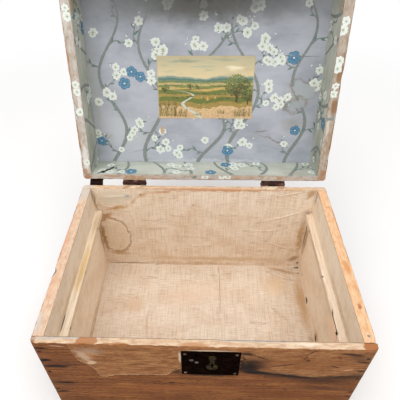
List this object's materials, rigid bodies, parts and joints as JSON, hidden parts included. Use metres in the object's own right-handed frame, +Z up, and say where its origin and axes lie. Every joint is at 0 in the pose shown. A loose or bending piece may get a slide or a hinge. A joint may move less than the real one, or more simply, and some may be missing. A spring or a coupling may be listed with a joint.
{
  "type": "travel trunk",
  "caption": "Small rectangular pine trunk with a tray-shaped lid on butt hinges, paper linings, tray runners, a nailed lock plate and a hasp.",
  "frame": {"origin": "centre of the case's underside, on the surface that it stands on", "axes": "+Z up, +X to the viewer's right, -Y towards the lock"},
  "size_m": [0.4, 0.422, 0.4873],
  "materials": {
    "aged_pine": "worn bare pine, darkened outside and pale on the rims",
    "lid_pine": "worn pine under torn paper",
    "lining_cloth": "beige paper on cloth, stained",
    "lining_paper": "smooth beige lining paper",
    "wall_paper": "grey-lavender printed paper",
    "card": "printed card",
    "black_iron": "blackened iron",
    "brown_iron": "brown rusted iron",
    "steel": "dull bright steel",
    "brass": "dull brass",
    "leather": "black leather"
  },
  "bodies": {
    "trunk": {"back_board": "aged_pine", "back_board_nails": "black_iron", "back_lining": "lining_cloth", "bottom_board": "aged_pine", "bottom_board_nails": "black_iron", "case_hinge_screws": "brown_iron", "escutcheon_pins": "brass", "floor_lining": "lining_cloth", "front_board": "aged_pine", "front_board_nails": "black_iron", "front_lining": "lining_cloth", "keyhole_escutcheon": "brass", "left_hinge_case_leaf": "brown_iron", "left_hinge_pin": "brown_iron", "left_lower_lining": "lining_cloth", "left_side_board": "aged_pine", "left_tray_runner": "aged_pine", "left_upper_lining": "lining_paper", "lock_case": "black_iron", "lock_case_rivets": "black_iron", "lock_key_pin": "steel", "lock_plate": "black_iron", "lock_plate_nails": "black_iron", "lock_spring": "steel", "right_hinge_case_leaf": "brown_iron", "right_hinge_pin": "brown_iron", "right_lower_lining": "lining_cloth", "right_side_board": "aged_pine", "right_tray_runner": "aged_pine", "right_upper_lining": "lining_paper", "rim_nail": "steel", "runner_nails": "black_iron", "strap_case_half": "leather", "strap_case_tacks": "black_iron"},
    "lid": {"hasp_hinge_plate": "black_iron", "hasp_pin": "black_iron", "hasp_plate_nails": "black_iron", "left_hinge_lid_leaf": "brown_iron", "lid_back_board": "lid_pine", "lid_back_lining": "wall_paper", "lid_frame_nails": "black_iron", "lid_front_board": "lid_pine", "lid_front_lining": "wall_paper", "lid_hinge_screws": "brown_iron", "lid_left_board": "lid_pine", "lid_left_lining": "wall_paper", "lid_panel": "lid_pine", "lid_panel_lining": "wall_paper", "lid_panel_nails": "black_iron", "lid_right_board": "lid_pine", "lid_right_lining": "wall_paper", "pasted_card": "card", "right_hinge_lid_leaf": "brown_iron", "strap_lid_half": "leather", "strap_lid_tacks": "black_iron"},
    "hasp": {"hasp": "black_iron"},
    "bolt": {"lock_bolt": "steel"}
  },
  "joints": [
    {"name": "lid_hinge", "type": "hinge", "parent": "trunk", "child": "lid", "pos_m": [0, 0.1484, 0.20015], "axis": [1, 0, 0], "range_deg": [0, 103.3]},
    {"name": "hasp_swing", "type": "hinge", "parent": "lid", "child": "hasp", "pos_m": [-0.0065, 0.21935, 0.48486], "axis": [1, 0, 0], "range_deg": [0, 180]},
    {"name": "bolt_slide", "type": "slide", "parent": "trunk", "child": "bolt", "axis": [-1, 0, 0], "range_m": [0, 0.006]}
  ]
}
